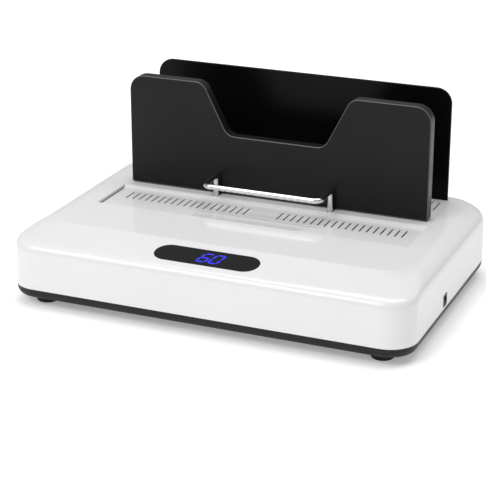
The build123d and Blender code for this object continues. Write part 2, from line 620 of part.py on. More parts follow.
def heating_plate():
    plate = block(-INSERT_HALF, INSERT_HALF, HEAT_FRONT_Y, HEAT_REAR_Y, HEAT_Z, HEAT_TOP)
    row = slot_row(HOT_SLOT_COUNT, HOT_SLOT_PITCH, GUIDE_FACE_Y + HOT_SLOT_FRONT, HOT_SLOT_LENGTH,
                   HEAT_Z - 1, HEAT_TOP + 1)
    clear = (LEG_SLOT + SLOT_WIDTH) / 2 + SLOT_WIDTH / 2
    cutters = [cut for x, cut in row if abs(abs(x) - LEG_OFFSET) > clear]
    cutters += [upright(x, y, HEAT_Z - 1, HEAT_Z + 2, SCREW_RADIUS + SCREW_FIT) for x, y in pan_screw_places()]
    return plate - cutters - leg_slots(HEAT_Z - 1, HEAT_TOP + 1)


def pan_spans():
    """Ends of the three hot spaces, between the plate's ends and the leg slots."""
    end, near, far = INSERT_HALF - PAN_MARGIN, LEG_OFFSET - PAN_GAP, LEG_OFFSET + PAN_GAP
    return [(-end, -far), (-near, near), (far, end)]


def heater_pans():
    pans = []
    for x0, x1 in pan_spans():
        pan = block(x0, x1, PAN_FRONT_Y, PAN_REAR_Y, PAN_Z, HEAT_Z)
        pan -= block(x0 + PAN_SHEET, x1 - PAN_SHEET, PAN_FRONT_Y + PAN_SHEET, PAN_REAR_Y - PAN_SHEET,
                     PAN_Z + PAN_SHEET, HEAT_Z + 1)
        for x, y in pan_screw_places():
            if x0 < x < x1:
                pan -= upright(x, y, PAN_Z - 1, PAN_Z + PAN_SHEET + 1, SCREW_CLEAR)
        pans.append(pan)
    return Compound(children=pans)


def heater_bars():
    bars = []
    for x0, x1 in pan_spans():
        bar = block(x0 + 3, x1 - 3, BAR_FRONT_Y, BAR_FRONT_Y + BAR_DEPTH, BAR_Z, HEAT_Z)
        bars.append(fillet(bar.edges().filter_by(Axis.X), 1.0))
    return Compound(children=bars)


def heater_insulation():
    pads = []
    for x0, x1 in pan_spans():
        pads.append(block(x0 + 2, x1 - 2, BAR_FRONT_Y - 0.5, BAR_FRONT_Y + BAR_DEPTH + 0.5, BAR_Z - PAD_SHEET, BAR_Z))
    return Compound(children=pads)


def pan_screw_places():
    y = PAN_REAR_Y - 6
    places = []
    for x0, x1 in pan_spans():
        for share in (0.15, 0.85):
            raw = x0 + share * (x1 - x0)
            # between two slots
            index = round((abs(raw) - SLOT_FIRST) / HOT_SLOT_PITCH - 0.5) + 0.5
            x = SLOT_FIRST + index * HOT_SLOT_PITCH
            places.append((x if raw > 0 else -x, y))
    return places


def pan_screws():
    screws = []
    for x, y in pan_screw_places():
        screws.append(screw(x, y, PAN_Z, HEAT_Z + 1.5) + (
            upright(x, y, PAN_Z + PAN_SHEET, HEAT_Z, SCREW_RADIUS + 1)))
    return Compound(children=screws)


def thermostat():
    top = HEAT_Z
    body = upright(0, PAN_REAR_Y - 14, top - 4, top, 8) + upright(0, PAN_REAR_Y - 14, top - 6.5, top - 4, 6)
    for side in (-1, 1):
        body += block(side * 8.5 - 3.5, side * 8.5 + 3.5, PAN_REAR_Y - 16, PAN_REAR_Y - 12, top - 5.6, top - 4.8)
    return body


def thermal_fuse():
    x, y, radius = 28.0, PAN_REAR_Y - 14, 2.0
    z = HEAT_Z - radius - SLIDE_FIT
    body = Pos(x, y, z) * Rot(0, 90, 0) * Cylinder(radius, 11)
    lead = Pos(x, y, z) * Rot(0, 90, 0) * Cylinder(0.5, 26)
    return body + lead


def temperature_sensor():
    x, y = -28.0, PAN_REAR_Y - 14
    body = block(x - 6, x + 6, y - 3, y + 3, HEAT_Z - 3, HEAT_Z)
    return fillet(body.edges().filter_by(Axis.X), 0.8)


# ---------------------------------------------------------------- rear plate
def guide_outline(width, foot_z, top_z, with_notch):
    half = width / 2
    bottom = [(-half, foot_z), (half, foot_z), (half, top_z)]
    radii = [GUIDE_FOOT_RADIUS, GUIDE_FOOT_RADIUS, GUIDE_TOP_RADIUS]
    if with_notch:
        floor_z = DECK_Z + NOTCH_FLOOR
        bottom += [(NOTCH_TOP_HALF, top_z), (NOTCH_FLOOR_HALF, floor_z), (-NOTCH_FLOOR_HALF, floor_z),
                   (-NOTCH_TOP_HALF, top_z)]
        radii += [NOTCH_RADIUS] * 4
    bottom.append((-half, top_z))
    radii.append(GUIDE_TOP_RADIUS)
    return make_face(FilletPolyline(*bottom, radius=radii, close=True))


def stand(face, y0, y1):
    """Extrude a face drawn in X and Z between two Y planes."""
    plane = Plane(origin=(0, y0, 0), x_dir=(1, 0, 0), z_dir=(0, -1, 0))
    return extrude(plane * face, y1 - y0, dir=(0, 1, 0))


def rear_screw_places():
    return [side * x for side in (-1, 1) for x in (REAR_SCREW_NEAR, HALF_GUIDE - REAR_SCREW_INSET)]


def rear_plate():
    foot = DECK_Z - REAR_BURIED
    plate = stand(guide_outline(GUIDE_WIDTH, foot, DECK_Z + REAR_TOP, False), REAR_FACE_Y, REAR_BACK_Y)
    rims = plate.edges().filter_by(lambda edge: abs(edge.bounding_box().size.Y) < 0.01)
    plate = fillet(rims, REAR_EDGE_RADIUS)
    for x in rear_screw_places():
        plate -= along_y(x, foot + REAR_SCREW_RISE, REAR_FACE_Y - 1, REAR_BACK_Y + 1, SCREW_CLEAR)
    return plate


def rear_plate_bracket():
    foot, sheet, half = DECK_Z - REAR_BURIED, ANGLE_SHEET, HALF_GUIDE - ANGLE_INSET
    angle = block(-half, half, REAR_BACK_Y, REAR_BACK_Y + sheet, foot, FRAME_Z)
    angle += block(-half, half, REAR_BACK_Y, FRAME_REAR_Y, FRAME_Z - sheet, FRAME_Z)
    for x in rear_screw_places():
        angle -= along_y(x, foot + REAR_SCREW_RISE, REAR_BACK_Y - 1, REAR_BACK_Y + sheet + 1, SCREW_CLEAR)
    return angle


def rear_plate_screws():
    foot, sheet = DECK_Z - REAR_BURIED, ANGLE_SHEET
    screws = []
    for x in rear_screw_places():
        body = along_y(x, foot + REAR_SCREW_RISE, REAR_FACE_Y - HEAD_HEIGHT, REAR_FACE_Y, HEAD_RADIUS)
        body += along_y(x, foot + REAR_SCREW_RISE, REAR_FACE_Y, REAR_BACK_Y + sheet + 3.4, SCREW_RADIUS)
        body += along_y(x, foot + REAR_SCREW_RISE, REAR_BACK_Y + sheet, REAR_BACK_Y + sheet + 2.4, HEAD_RADIUS)
        screws.append(body)
    return Compound(children=screws)


# ---------------------------------------------------------------- sliding guide
def guide_blank():
    foot = DECK_Z + GUIDE_LIFT
    plate = stand(guide_outline(GUIDE_WIDTH, foot, DECK_Z + GUIDE_TOP, True), GUIDE_FACE_Y, GUIDE_REAR_Y)
    rims = plate.edges().filter_by(lambda edge: abs(edge.bounding_box().size.Y) < 0.01)
    return fillet(rims, GUIDE_EDGE_RADIUS)


def guide_hollow():
    """The space inside the guide plate."""
    foot = DECK_Z + GUIDE_LIFT
    inner = offset(guide_outline(GUIDE_WIDTH, foot, DECK_Z + GUIDE_TOP, True), -GUIDE_WALL)
    return stand(inner, GUIDE_FACE_Y + GUIDE_WALL, GUIDE_REAR_Y - GUIDE_WALL)


def blade_ways():
    """Cutters for the brackets through the plate's lower wall."""
    ways = []
    for side in (-1, 1):
        x = side * LEG_OFFSET
        reach = BLADE_SHEET / 2 + GAP
        ways.append(block(x - reach, x + reach, BLADE_FRONT_Y - GAP / 3, BLADE_REAR_Y + GAP, DECK_Z,
                          DECK_Z + GUIDE_LIFT + GUIDE_WALL + 1))
    return ways


def plate_screw_places():
    """Screws near the corners hold the halves, two more hold the brackets."""
    far, high = HALF_GUIDE - PLATE_SCREW_INSET, GUIDE_TOP - PLATE_SCREW_DROP
    places = [(far, PLATE_SCREW_LOW), (far, high), (PLATE_SCREW_NEAR, PLATE_SCREW_LOW),
              (NOTCH_TOP_HALF + NOTCH_SCREW_SPAN, high)]
    return [(side * x, DECK_Z + z) for side in (-1, 1) for x, z in places]


def front_plate():
    split = GUIDE_FACE_Y + GUIDE_SPLIT
    keep = block(-GUIDE_WIDTH, GUIDE_WIDTH, GUIDE_FACE_Y - 1, split, DECK_Z, 2 * DECK_Z + GUIDE_TOP)
    plate = (guide_blank() & keep) - guide_hollow() - blade_ways()
    for x, z in plate_screw_places():
        boss = along_y(x, z, GUIDE_FACE_Y + GUIDE_WALL / 2, split, PLATE_BOSS_RADIUS)
        plate += boss - along_y(x, z, GUIDE_FACE_Y + GUIDE_WALL, split + 1, SCREW_RADIUS + SCREW_FIT)
    # ribs that hold each bracket's blade
    for side in (-1, 1):
        x = side * LEG_OFFSET
        for shift in (-1, 1):
            near = x + shift * (BLADE_SHEET / 2 + GAP / 3)
            far = near + shift * 2
            plate += block(min(near, far), max(near, far), GUIDE_FACE_Y + GUIDE_WALL / 2, split,
                           DECK_Z + GUIDE_LIFT + GUIDE_WALL / 2, DECK_Z + BLADE_TOP)
    return plate


def front_plate_back():
    split = GUIDE_FACE_Y + GUIDE_SPLIT
    keep = block(-GUIDE_WIDTH, GUIDE_WIDTH, split, GUIDE_REAR_Y + 1, DECK_Z, 2 * DECK_Z + GUIDE_TOP)
    plate = (guide_blank() & keep) - guide_hollow() - blade_ways()
    for x, z in plate_screw_places():
        plate += along_y(x, z, split, GUIDE_REAR_Y - GUIDE_WALL / 2, PLATE_BOSS_RADIUS)
        plate -= along_y(x, z, split - 1, GUIDE_REAR_Y + 1, SCREW_CLEAR)
        plate -= along_y(x, z, GUIDE_REAR_Y - SINK_DEPTH, GUIDE_REAR_Y + 1, HEAD_RADIUS + GAP / 3)
    return plate


def plate_screws():
    screws = []
    for x, z in plate_screw_places():
        body = along_y(x, z, GUIDE_REAR_Y - SINK_DEPTH, GUIDE_REAR_Y - 0.2, HEAD_RADIUS)
        body -= Pos(x, GUIDE_REAR_Y - 0.2, z) * Box(3.6, 1.2, 0.7)
        body += along_y(x, z, GUIDE_FACE_Y + GUIDE_WALL + 1, GUIDE_REAR_Y - SINK_DEPTH, SCREW_RADIUS)
        screws.append(body)
    return Compound(children=screws)


def glide_pads():
    pads = []
    end = HALF_GUIDE - PAD_INSET - PAD_LENGTH / 2
    for x in (-end, 0, end):
        pad = block(x - PAD_LENGTH / 2, x + PAD_LENGTH / 2, GUIDE_FACE_Y + PAD_INSET, GUIDE_REAR_Y - PAD_INSET,
                    DECK_Z + GAP, DECK_Z + GUIDE_LIFT)
        pads.append(fillet(pad.edges().filter_by(Axis.Z), 1.5))
    return Compound(children=pads)


def plate_brackets():
    brackets = []
    for side in (-1, 1):
        x = side * LEG_OFFSET
        blade = block(x - BLADE_SHEET / 2, x + BLADE_SHEET / 2, BLADE_FRONT_Y, BLADE_REAR_Y, YOKE_TOP, DECK_Z + BLADE_TOP)
        blade += block(x - BRACKET_FOOT / 2, x + BRACKET_FOOT / 2, BLADE_FRONT_Y, BLADE_REAR_Y, YOKE_TOP,
                       YOKE_TOP + BRACKET_SHEET)
        for shift in (-1, 1):
            blade -= upright(x + shift * 4.6, (BLADE_FRONT_Y + BLADE_REAR_Y) / 2, YOKE_TOP - 1,
                             YOKE_TOP + BRACKET_SHEET + 1, SCREW_RADIUS + SCREW_FIT)
        brackets.append(blade)
    return Compound(children=brackets)


def carriage_yoke():
    yoke = block(-YOKE_HALF, YOKE_HALF, GUIDE_FACE_Y - YOKE_FRONT, GUIDE_FACE_Y + YOKE_FRONT, YOKE_Z, YOKE_TOP)
    yoke = fillet(yoke.edges().filter_by(Axis.Z), 4)
    for side in (-1, 1):
        yoke -= upright(side * LEG_OFFSET, LEG_Y, YOKE_Z - 1, YOKE_TOP + 1, ROD_RADIUS + SLIDE_FIT)
        # lightening windows
        yoke -= block(side * 30 - 16, side * 30 + 16, GUIDE_FACE_Y - 6, GUIDE_FACE_Y + 6, YOKE_Z - 1, YOKE_TOP + 1)
    for x, y, radius in yoke_screw_places():
        yoke -= upright(x, y, YOKE_Z - 1, YOKE_TOP + 1, radius)
    return yoke


def yoke_screw_places():
    """Block screws go down into the blocks, bracket screws up into the brackets' feet."""
    places = []
    bracket_y = (BLADE_FRONT_Y + BLADE_REAR_Y) / 2
    for side in (-1, 1):
        for shift in (-7, 7):
            places.append((side * SLIDE_OFFSET + shift, GUIDE_FACE_Y, SCREW_CLEAR))
        for shift in (-4.6, 4.6):
            places.append((side * LEG_OFFSET + shift, bracket_y, SCREW_CLEAR))
    return places


def yoke_screws():
    screws = []
    for x, y, _ in yoke_screw_places():
        if y == GUIDE_FACE_Y:
            body = upright(x, y, YOKE_TOP, YOKE_TOP + HEAD_HEIGHT, HEAD_RADIUS)
            body -= block(x - 1.8, x + 1.8, y - 0.4, y + 0.4, YOKE_TOP + HEAD_HEIGHT - 1, YOKE_TOP + HEAD_HEIGHT + 1)
            body += upright(x, y, YOKE_Z - 6, YOKE_TOP, SCREW_RADIUS)
        else:
            body = upright(x, y, YOKE_Z - 2, YOKE_Z, 2.2) + upright(x, y, YOKE_Z, YOKE_TOP + BRACKET_SHEET, SCREW_RADIUS)
        screws.append(body)
    return Compound(children=screws)


def slide_blocks():
    blocks = []
    for side in (-1, 1):
        x = side * SLIDE_OFFSET
        body = block(x - BLOCK_WIDTH / 2, x + BLOCK_WIDTH / 2, BLOCK_FRONT_Y, BLOCK_REAR_Y, YOKE_Z - BLOCK_HEIGHT, YOKE_Z)
        body = fillet(body.edges().filter_by(Axis.Y), 1.5)
        body -= along_y(x, SLIDE_Z, BLOCK_FRONT_Y - 1, BLOCK_REAR_Y + 1, SLIDE_RADIUS + SLIDE_FIT)
        for shift in (-7, 7):
            body -= upright(x + shift, GUIDE_FACE_Y, YOKE_Z - 7, YOKE_Z + 1, SCREW_RADIUS + SCREW_FIT)
        blocks.append(body)
    return Compound(children=blocks)


def slide_rods():
    rods = []
    for side in (-1, 1):
        rod = along_y(side * SLIDE_OFFSET, SLIDE_Z, FRONT_PILLAR_Y, REAR_PILLAR_Y + PILLAR_DEPTH, SLIDE_RADIUS)
        rods.append(chamfer(rod.edges().filter_by(GeomType.CIRCLE), 0.6))
    return Compound(children=rods)


def handle_rod():
    foot = YOKE_Z - 5
    rise, bar = DECK_Z + ARM_RISE, DECK_Z + BAR_RISE
    right, left = LEG_OFFSET, -LEG_OFFSET
    path = FilletPolyline(
        (right, LEG_Y, foot), (right, LEG_Y, rise), (right, BAR_Y, bar),
        (left, BAR_Y, bar), (left, LEG_Y, rise), (left, LEG_Y, foot),
        radius=[ARM_BEND, BAR_BEND, BAR_BEND, ARM_BEND])
    section = Plane(origin=(right, LEG_Y, foot), z_dir=(0, 0, 1)) * Circle(ROD_RADIUS)
    return sweep(section, path=path)


def handle_nuts():
    nuts = []
    for side in (-1, 1):
        x = side * LEG_OFFSET
        nuts.append(hexagon(x, LEG_Y, YOKE_TOP, YOKE_TOP + 2.6, 9, ROD_RADIUS + SLIDE_FIT))
        nuts.append(hexagon(x, LEG_Y, YOKE_Z - 4, YOKE_Z, 9, ROD_RADIUS + SLIDE_FIT))
    return Compound(children=nuts)


# ---------------------------------------------------------------- display
def display_window():
    lens = pill(LENS_LENGTH - GAP, LENS_WIDTH - GAP, LENS_RECESS, shell_depth() - LENS_RECESS)
    return lens + pill(LENS_LENGTH + 2 * LENS_FLANGE, LENS_WIDTH + 2 * LENS_FLANGE, shell_depth(), LENS_FLANGE_SHEET)


def shell_depth():
    """The shell's thickness square to the facet."""
    return WALL * (cos(radians(FACET_SLOPE)) + sin(radians(FACET_SLOPE)))


def module_depth():
    return shell_depth() + LENS_FLANGE_SHEET


def board_depth():
    return module_depth() + MODULE_SIZE[2]


def digit_module():
    length, width, height = MODULE_SIZE
    return facet_block(length, width, module_depth(), height, shift=DIGIT_SHIFT)


def display_board():
    depth = board_depth()
    board = facet_block(DISPLAY_BOARD_LENGTH, DISPLAY_BOARD_WIDTH, depth, BOARD_SHEET)
    for side in (-1, 1):
        hole = facet_plane(depth - 1) * Pos(side * DISPLAY_POST, 0) * Circle(SCREW_CLEAR)
        board -= extrude(hole, -BOARD_SHEET - 2)
    return board


def display_screws():
    depth = board_depth() + BOARD_SHEET
    screws = []
    for side in (-1, 1):
        plane = facet_plane(depth) * Pos(side * DISPLAY_POST, 0)
        screws.append(extrude(plane * Circle(HEAD_RADIUS), -HEAD_HEIGHT) + extrude(plane * Circle(SCREW_RADIUS), 6))
    return Compound(children=screws)


# ---------------------------------------------------------------- switch and inlet
def switch_housing():
    y0, y1 = SWITCH_Y - SWITCH_WIDTH / 2, SWITCH_Y + SWITCH_WIDTH / 2
    inside = HALF_LENGTH - WALL - 1.1
    body = block(inside - 1, SWITCH_FACE_X, y0, y1, SWITCH_Z0, SWITCH_Z1)
    body += block(PIVOT_X - 11, inside, y0, y1, PIVOT_Z - 7.6, PIVOT_Z + 7.6)
    reach = ROCKER_RADIUS + ROCKER_FIT
    half = ROCKER_WIDTH / 2 + ROCKER_FIT
    body -= along_y(PIVOT_X, PIVOT_Z, SWITCH_Y - half, SWITCH_Y + half, reach)
    body -= along_y(PIVOT_X, PIVOT_Z, SWITCH_Y - half - 0.7, SWITCH_Y + half + 0.7, PIVOT_RADIUS + SLIDE_FIT)
    for shift in (-4.5, 0, 4.5):
        body += block(PIVOT_X - 18, PIVOT_X - 10, SWITCH_Y - 2.4, SWITCH_Y + 2.4, PIVOT_Z + shift - 0.4, PIVOT_Z + shift + 0.4)
    return body


def power_rocker():
    rocker = along_y(PIVOT_X, PIVOT_Z, SWITCH_Y - ROCKER_WIDTH / 2, SWITCH_Y + ROCKER_WIDTH / 2, ROCKER_RADIUS)
    rocker -= block(PIVOT_X - 10, PIVOT_X - 2.4, SWITCH_Y - 9, SWITCH_Y + 9, PIVOT_Z - 9, PIVOT_Z + 9)
    # shallow valley across the face, whose outer ends stand near the housing's face
    valley, brim = 3.9, 4.7
    for side in (-1, 1):
        face = Polyline((PIVOT_X + valley, PIVOT_Z), (PIVOT_X + brim, PIVOT_Z + side * 5),
                        (PIVOT_X + 12, PIVOT_Z + side * 5), (PIVOT_X + 12, PIVOT_Z), close=True)
        rocker -= stand(make_face(face), SWITCH_Y - 9, SWITCH_Y + 9)
    pin_half = ROCKER_WIDTH / 2 + ROCKER_FIT + 0.6
    rocker += along_y(PIVOT_X, PIVOT_Z, SWITCH_Y - pin_half, SWITCH_Y + pin_half, PIVOT_RADIUS)
    # the machine is shown switched on, its upper half pressed in
    turn = Pos(PIVOT_X, 0, PIVOT_Z) * Rot(0, -ROCKER_THROW / 2, 0) * Pos(-PIVOT_X, 0, -PIVOT_Z)
    return turn * rocker


def power_inlet():
    wide, tall, deep = INLET_SIZE
    face = HALF_DEPTH - INLET_SINK
    wall = face - WALL
    side, foot, top = wide / 2 + INLET_FLANGE, INLET_Z - tall / 2, INLET_Z + tall / 2
    body = block(INLET_X - wide / 2, INLET_X + wide / 2, face - deep, face, foot, top)
    body += block(INLET_X - side, INLET_X + side, wall - 2, wall, foot, top)
    wide, tall, deep = SOCKET_SIZE
    socket = block(INLET_X - wide / 2, INLET_X + wide / 2, face - deep, face + 1, INLET_Z - tall / 2, INLET_Z + tall / 2)
    return body - chamfer(socket.edges().filter_by(Axis.Y).group_by(Axis.Z)[-1], SOCKET_CORNER)


def inlet_pins():
    wide, tall, deep = PIN_SIZE
    y = HALF_DEPTH - INLET_SINK - SOCKET_SIZE[2]
    pins = []
    for shift, rise in PIN_PLACES:
        x, z = INLET_X + shift, INLET_Z + rise
        pins.append(block(x - wide / 2, x + wide / 2, y, y + deep, z - tall / 2, z + tall / 2))
    return Compound(children=pins)


# ---------------------------------------------------------------- power board
def board_screw_places():
    across = (BOARD_LEFT + BOARD_HOLE, BOARD_RIGHT - BOARD_HOLE)
    along = (BOARD_FRONT_Y + BOARD_HOLE, BOARD_FRONT_Y + BOARD_DEPTH - BOARD_HOLE)
    return [(x, y) for x in across for y in along]


def board_top():
    return BASE_FLOOR + BOARD_LIFT + BOARD_SHEET


def on_board(place, size, shift=0):
    """Box on the power board, its middle at a place from the board's front left corner."""
    x, y = BOARD_LEFT + place[0] + shift, BOARD_FRONT_Y + place[1]
    return block(x - size[0] / 2, x + size[0] / 2, y - size[1] / 2, y + size[1] / 2, board_top(), board_top() + size[2])


def power_board():
    board = block(BOARD_LEFT, BOARD_RIGHT, BOARD_FRONT_Y, BOARD_FRONT_Y + BOARD_DEPTH, board_top() - BOARD_SHEET,
                  board_top())
    for x, y in board_screw_places():
        board -= upright(x, y, board_top() - 3, board_top() + 1, SCREW_CLEAR)
    return board


def board_screws():
    screws = []
    for x, y in board_screw_places():
        body = upright(x, y, board_top(), board_top() + HEAD_HEIGHT, HEAD_RADIUS)
        body -= block(x - 1.8, x + 1.8, y - 0.4, y + 0.4, board_top() + 1, board_top() + 3)
        screws.append(body + upright(x, y, board_top() - 6, board_top(), SCREW_RADIUS))
    return Compound(children=screws)


def transformer():
    core = on_board(CORE_PLACE, CORE_SIZE)
    core = fillet(core.edges().filter_by(Axis.Z), 1)
    winding = Pos(0, 0, (CORE_SIZE[2] - WINDING_SIZE[2]) / 2) * on_board(CORE_PLACE, WINDING_SIZE)
    return core + fillet(winding.edges().filter_by(Axis.X), 4)


def relay():
    return fillet(on_board(RELAY_PLACE, RELAY_SIZE).edges().filter_by(Axis.Z), 0.8)


def capacitors():
    y = BOARD_FRONT_Y + CAN_PLACE[1]
    cans = []
    for index in (0, 1):
        can = upright(BOARD_LEFT + CAN_PLACE[0] + index * CAN_PITCH, y, board_top(), board_top() + CAN_HEIGHT, CAN_RADIUS)
        cans.append(fillet(can.edges().group_by(Axis.Z)[-1], 0.8))
    return Compound(children=cans)


def terminal_block():
    body = on_board(TERMINAL_PLACE, TERMINAL_SIZE)
    x, y = BOARD_LEFT + TERMINAL_PLACE[0], BOARD_FRONT_Y + TERMINAL_PLACE[1]
    z = board_top()
    for index in range(-2, 3):
        way = y + index * TERMINAL_PITCH
        body -= upright(x, way, z + 8, z + 13, 2)
        body -= block(x + 3, x + 6, way - 2, way + 2, z + 2, z + 6)
    return body


def heatsink():
    length, depth, height = SINK_SIZE
    body = on_board(SINK_PLACE, (length, 2, height))
    gap = (length - SINK_FIN) / 4
    for index in range(5):
        shift = index * gap - length / 2 + SINK_FIN / 2
        fin = on_board(SINK_PLACE, (SINK_FIN, depth - 2, height), shift)
        body += Pos(0, depth / 2, 0) * fin
    return body


# ---------------------------------------------------------------- write the pieces
NODES = [
    top_shell, base_tray, rubber_feet, shell_screws,
    bed_frame, frame_screws, vent_panel, heating_plate, heater_pans, heater_bars, heater_insulation,
    pan_screws, thermostat, thermal_fuse, temperature_sensor,
    rear_plate, rear_plate_bracket, rear_plate_screws,
    front_plate, front_plate_back, plate_screws, glide_pads, plate_brackets,
    carriage_yoke, yoke_screws, slide_blocks, slide_rods, handle_rod, handle_nuts,
    display_window, digit_module, display_board, display_screws,
    switch_housing, power_rocker, power_inlet, inlet_pins,
    power_board, board_screws, transformer, relay, capacitors, terminal_block, heatsink,
]

os.makedirs("parts", exist_ok=True)
for make in NODES:
    export_step(make(), f"parts/{make.__name__}.step")
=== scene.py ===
import bpy
import json
from math import cos, radians, sin
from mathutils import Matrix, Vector


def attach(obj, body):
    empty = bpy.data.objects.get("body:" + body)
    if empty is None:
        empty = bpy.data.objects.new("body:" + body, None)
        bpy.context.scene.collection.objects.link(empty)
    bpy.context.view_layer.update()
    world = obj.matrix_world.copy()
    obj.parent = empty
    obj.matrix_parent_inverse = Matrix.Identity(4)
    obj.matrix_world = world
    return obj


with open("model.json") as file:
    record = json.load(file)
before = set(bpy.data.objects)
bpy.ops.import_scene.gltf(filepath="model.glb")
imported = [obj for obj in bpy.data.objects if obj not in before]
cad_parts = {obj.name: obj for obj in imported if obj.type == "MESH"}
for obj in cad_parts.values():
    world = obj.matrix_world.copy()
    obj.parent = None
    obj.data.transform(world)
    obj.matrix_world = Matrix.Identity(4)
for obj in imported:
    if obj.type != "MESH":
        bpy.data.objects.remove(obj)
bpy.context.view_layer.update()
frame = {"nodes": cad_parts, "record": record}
record = frame["record"]

# ---------------------------------------------------------------- camera, floor and light
scene = bpy.context.scene
scene.view_settings.view_transform = "Standard"
scene.view_settings.look = "None"

# places in metres, angles in degrees, powers in watts
CAMERA_PLACE = (0.5787, -1.3997, 0.6232)
CAMERA_PITCH = 69.23
CAMERA_YAW = 22.92
CAMERA_LENS = 121.03
SENSOR_WIDTH = 36.0
WORLD_LEVEL = 0.34
KEY_PLACE, KEY_TARGET, KEY_SIZE, KEY_POWER = (-0.9, -1.7, 1.9), (0, 0, 0.05), (1.8, 1.4), 28
TOP_PLACE, TOP_TARGET, TOP_SIZE, TOP_POWER = (0.1, 0.3, 2.2), (0, 0, 0.07), (2.2, 1.6), 31
FLOOR_HALF = 6
FLOOR_WHITE = (0.93, 0.93, 0.93)
FLOOR_GLOW = 0.30


def add_camera():
    data = bpy.data.cameras.new("camera")
    data.lens = CAMERA_LENS
    data.sensor_width = SENSOR_WIDTH
    data.sensor_fit = "HORIZONTAL"
    data.clip_start = 0.01
    camera = bpy.data.objects.new("camera", data)
    camera.location = CAMERA_PLACE
    camera.rotation_euler = (radians(CAMERA_PITCH), 0, radians(CAMERA_YAW))
    scene.collection.objects.link(camera)
    scene.camera = camera


def add_area(name, place, target, size, energy):
    data = bpy.data.lights.new(name, "AREA")
    data.shape = "RECTANGLE"
    data.size, data.size_y = size
    data.energy = energy
    light = bpy.data.objects.new(name, data)
    light.location = place
    light.rotation_euler = (Vector(target) - Vector(place)).to_track_quat("-Z", "Y").to_euler()
    scene.collection.objects.link(light)


def add_world(level):
    world = bpy.data.worlds.new("studio")
    world.use_nodes = True
    back = world.node_tree.nodes["Background"]
    back.inputs["Color"].default_value = (1, 1, 1, 1)
    back.inputs["Strength"].default_value = level
    scene.world = world


def mesh_object(name, points, faces):
    mesh = bpy.data.meshes.new(name)
    mesh.from_pydata(points, [], faces)
    mesh.update()
    thing = bpy.data.objects.new(name, mesh)
    scene.collection.objects.link(thing)
    return thing


# ---------------------------------------------------------------- materials
CLOUD_SCALE = 14                # faint cloudiness of a moulding
GLOSS_SCALE = 60                # its patches of uneven gloss
GRAIN_STRENGTH = 0.5
STREAK_STRENGTH = 0.4
STREAK_SHADE = 0.88             # darker streaks of a metal
THREAD_SHADE = 0.7              # darker gaps between threads
WAVE_TURN = 6.2832              # radians in one wave of threads
BOARD_CELLS = 140
GLOW_CELLS = 1500
GLOW_SHADE = 0.85


def principled(name, base, rough, metallic=0.0, specular=0.5, sheen=0.0):
    """A new material with its plain values set on its shader."""
    material = bpy.data.materials.new(name)
    material.use_nodes = True
    shader = material.node_tree.nodes["Principled BSDF"]
    shader.inputs["Base Color"].default_value = (*base, 1)
    shader.inputs["Roughness"].default_value = rough
    shader.inputs["Metallic"].default_value = metallic
    shader.inputs["Specular IOR Level"].default_value = specular
    shader.inputs["Sheen Weight"].default_value = sheen
    return material, material.node_tree, shader


def noise(tree, scale, detail, stretch=(1, 1, 1)):
    """Noise over the piece's own coordinates."""
    coords = tree.nodes.new("ShaderNodeTexCoord")
    mapping = tree.nodes.new("ShaderNodeMapping")
    mapping.inputs["Scale"].default_value = stretch
    texture = tree.nodes.new("ShaderNodeTexNoise")
    texture.inputs["Scale"].default_value = scale
    texture.inputs["Detail"].default_value = detail
    tree.links.new(coords.outputs["Object"], mapping.inputs["Vector"])
    tree.links.new(mapping.outputs["Vector"], texture.inputs["Vector"])
    return texture.outputs["Fac"]


def spread(tree, source, low, high, start=0.3, stop=0.7):
    """Map a noise to a range of values."""
    node = tree.nodes.new("ShaderNodeMapRange")
    node.inputs["From Min"].default_value = start
    node.inputs["From Max"].default_value = stop
    node.inputs["To Min"].default_value = low
    node.inputs["To Max"].default_value = high
    tree.links.new(source, node.inputs["Value"])
    return node.outputs["Result"]


def tint(tree, source, low, high, start=0.3, stop=0.7):
    """Map a noise to a range of colours."""
    ramp = tree.nodes.new("ShaderNodeValToRGB")
    ramp.color_ramp.elements[0].position = start
    ramp.color_ramp.elements[1].position = stop
    ramp.color_ramp.elements[0].color = (*low, 1)
    ramp.color_ramp.elements[1].color = (*high, 1)
    tree.links.new(source, ramp.inputs["Fac"])
    return ramp.outputs["Color"]


def bump(tree, shader, source, strength, distance):
    """Relief from a noise, with a depth in metres."""
    node = tree.nodes.new("ShaderNodeBump")
    node.inputs["Strength"].default_value = strength
    node.inputs["Distance"].default_value = distance
    tree.links.new(source, node.inputs["Height"])
    tree.links.new(node.outputs["Normal"], shader.inputs["Normal"])


def moulded(name, base, rough, swing, shade, grain, depth, specular=0.5):
    """Moulded plastic or coating: faint cloudiness, uneven gloss and a fine grain."""
    material, tree, shader = principled(name, base, rough, specular=specular)
    cloud = noise(tree, CLOUD_SCALE, 5)
    dark = tuple(value * (1 - shade) for value in base)
    light = tuple(min(1, value * (1 + shade)) for value in base)
    tree.links.new(tint(tree, cloud, dark, light), shader.inputs["Base Color"])
    uneven = noise(tree, GLOSS_SCALE, 6)
    tree.links.new(spread(tree, uneven, rough - swing / 2, rough + swing / 2), shader.inputs["Roughness"])
    bump(tree, shader, noise(tree, grain, 2), GRAIN_STRENGTH, depth)
    return material


